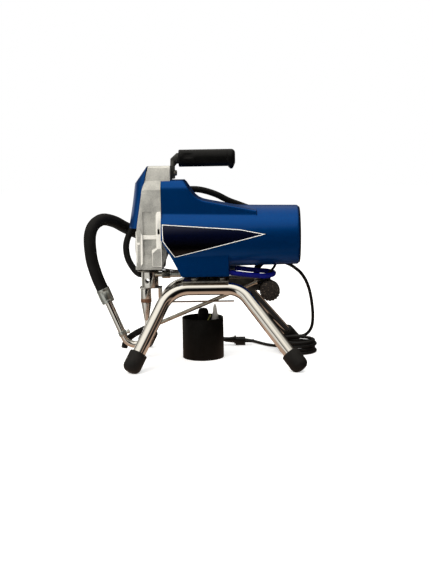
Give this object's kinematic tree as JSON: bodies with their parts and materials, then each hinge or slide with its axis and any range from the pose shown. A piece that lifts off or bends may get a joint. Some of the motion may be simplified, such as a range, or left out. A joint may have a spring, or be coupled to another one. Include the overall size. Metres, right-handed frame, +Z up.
{
  "type": "airless paint sprayer",
  "caption": "Electric airless paint sprayer: a geared piston pump with suction tube and hoses under a moulded motor shroud, on a bent tube stand with a grip handle and a mains lead.",
  "frame": {"origin": "on the floor under the middle of the machine without its mains cord", "axes": "+X from the pump to the motor end, +Y to the side with the switch box, +Z up"},
  "size_m": [0.4667, 0.3294, 0.4202],
  "materials": {
    "chrome_tube": "polished",
    "rubber": "satin",
    "casting": "satin",
    "blue_shell": "gloss",
    "black_moulding": "matte",
    "knob": "matte",
    "trim": "satin",
    "steel": "satin",
    "painted_steel": "satin",
    "magnets": "matte",
    "ferrules": "satin",
    "fittings": "satin",
    "copper_ring": "satin",
    "packing": "satin",
    "blue_hose": "satin",
    "red_control": "gloss",
    "board": "satin",
    "small_pieces": "satin"
  },
  "bodies": {
    "frame": {"stand_tube_near": "chrome_tube", "stand_tube_far": "chrome_tube", "foot_front_near": "rubber", "foot_front_far": "rubber", "foot_rear_near": "rubber", "foot_rear_far": "rubber", "mount_plate": "steel", "fasteners": "steel", "isolators": "rubber", "motor_cradle": "painted_steel", "gear_housing": "casting", "front_cover": "blue_shell", "gear_case": "casting", "ball_bearings": "steel", "motor_can": "steel", "field_magnets": "magnets", "brush_end_bell": "casting", "motor_shroud": "blue_shell", "rear_grille": "black_moulding", "side_panel": "trim", "handle_bar": "casting", "handle_grip": "rubber", "pump_sleeve": "steel", "throat_packing": "packing", "pump_yoke": "steel", "foot_valve": "steel", "seat_ring": "copper_ring", "inlet_cone": "steel", "clear_stub": "packing", "suction_tube": "chrome_tube", "hose_ferrules": "ferrules", "suction_hose": "rubber", "strainer": "black_moulding", "steel_fittings": "fittings", "whip_hose": "blue_hose", "return_hose": "rubber", "drain_tube": "steel", "drain_hose": "rubber", "manifold": "casting", "pressure_switch": "black_moulding", "prime_valve": "fittings", "control_box": "black_moulding", "control_board": "board", "wiring": "black_moulding", "cord_gland": "rubber", "power_cord": "rubber", "cord_coil": "rubber", "cord_tail": "rubber", "cord_plug": "rubber", "cup": "black_moulding", "cup_contents": "small_pieces"},
    "armature": {"rotor": "steel"},
    "cluster": {"cluster_gear": "steel"},
    "crank": {"crankshaft": "steel"},
    "conrod": {"connecting_rod": "casting"},
    "plunger": {"pump_rod": "chrome_tube"},
    "valve_ball": {"inlet_ball": "steel"},
    "knob": {"pressure_knob": "knob"},
    "lever": {"prime_lever": "red_control"},
    "rocker": {"power_rocker": "red_control"}
  },
  "joints": [
    {"name": "motor_spin", "type": "hinge", "parent": "frame", "child": "armature", "pos_m": [0.0456, 0, 0.25], "axis": [1, 0, 0], "continuous": true},
    {"name": "cluster_spin", "type": "hinge", "parent": "frame", "child": "cluster", "pos_m": [-0.0444, 0, 0.28], "axis": [1, 0, 0], "continuous": true},
    {"name": "crank_spin", "type": "hinge", "parent": "frame", "child": "crank", "pos_m": [-0.0544, 0, 0.315], "axis": [1, 0, 0], "continuous": true},
    {"name": "crank_pin_turn", "type": "hinge", "parent": "crank", "child": "conrod", "pos_m": [-0.0889, 0, 0.326], "axis": [1, 0, 0], "continuous": true},
    {"name": "pump_stroke", "type": "slide", "parent": "frame", "child": "plunger", "axis": [0, 0, 1], "range_m": [-0.022, 0]},
    {"name": "ball_lift", "type": "slide", "parent": "frame", "child": "valve_ball", "axis": [0, 0, 1], "range_m": [0, 0.0025]},
    {"name": "pressure_turn", "type": "hinge", "parent": "frame", "child": "knob", "pos_m": [0.1506, -0.02, 0.141], "axis": [0, 1, 0], "range_deg": [0, 270]},
    {"name": "prime_turn", "type": "hinge", "parent": "frame", "child": "lever", "pos_m": [0.1256, 0.063, 0.152], "axis": [0, -1, 0], "range_deg": [0, 90]},
    {"name": "power_press", "type": "hinge", "parent": "frame", "child": "rocker", "pos_m": [0.1176, 0.074, 0.239], "axis": [1, 0, 0], "range_deg": [0, 14]}
  ],
  "couplings": [
    {"joint": "cluster_spin", "follows": "motor_spin", "ratio": -0.25},
    {"joint": "crank_spin", "follows": "motor_spin", "ratio": 0.083333},
    {"joint": "crank_pin_turn", "follows": "motor_spin", "ratio": -0.083333}
  ]
}
